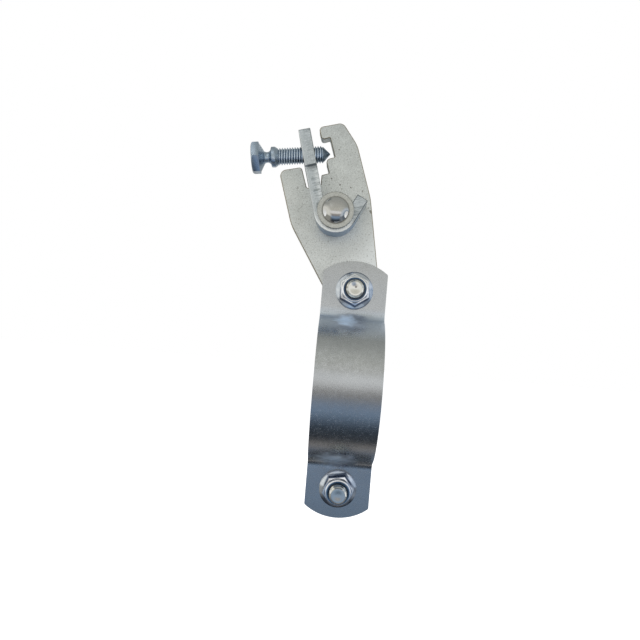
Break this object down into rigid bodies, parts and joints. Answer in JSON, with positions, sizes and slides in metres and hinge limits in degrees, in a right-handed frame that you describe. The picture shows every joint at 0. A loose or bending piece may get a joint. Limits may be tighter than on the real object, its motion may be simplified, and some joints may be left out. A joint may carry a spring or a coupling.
{
  "type": "lateral brace clamp",
  "caption": "Two-part steel pipe clamp with a notched jaw plate held between its ears, a forked swing arm on a rivet and a cone-point set bolt that grips a sway brace.",
  "frame": {"origin": "centre of the pipe bore, on the pipe's axis and at the middle of the band's width", "axes": "+X along the pipe, +Y from the nuts to the bolt heads, +Z along the row of the two clamp bolts, towards the jaw plate"},
  "size_m": [0.0863, 0.0842, 0.2293],
  "materials": {
    "band_zinc": "bright zinc plating on rolled strip, satin",
    "plate_zinc": "matte pale zinc plating, fine speckle",
    "arm_zinc": "zinc plating over sheared edges",
    "nut_zinc": "bright bluish zinc plating",
    "bolt_zinc": "zinc plating with a faint yellow tint",
    "nylon": "dark blue nylon, slightly waxy",
    "polished_rivet": "polished by the riveting tool",
    "washer_steel": "satin steel, warm grey",
    "set_bolt_steel": "glossy dark blue-grey zinc plating"
  },
  "bodies": {
    "clamp": {"front_clamp_half": "band_zinc", "rear_clamp_half": "band_zinc", "upper_clamp_bolt": "bolt_zinc", "upper_lock_nut": "nut_zinc", "upper_nut_insert": "nylon", "lower_clamp_bolt": "bolt_zinc", "lower_lock_nut": "nut_zinc", "lower_nut_insert": "nylon"},
    "jaw": {"jaw_plate": "plate_zinc", "pivot_rivet": "polished_rivet", "front_pivot_washer": "washer_steel", "rear_pivot_washer": "washer_steel"},
    "arm": {"swing_arm": "arm_zinc"},
    "screw": {"set_bolt": "set_bolt_steel"}
  },
  "joints": [
    {"name": "jaw_swing", "type": "hinge", "parent": "clamp", "child": "jaw", "pos_m": [0, 0, 0.0575], "axis": [0, -1, 0], "range_deg": [-78.7, 41.3]},
    {"name": "arm_swing", "type": "hinge", "parent": "jaw", "child": "arm", "pos_m": [-0.01449, 0, 0.10031], "axis": [0, -1, 0], "range_deg": [-1.2, 2.2]},
    {"name": "set_bolt_travel", "type": "slide", "parent": "arm", "child": "screw", "axis": [0.991, 0, 0.134], "range_m": [-0.01, 0.001]}
  ]
}
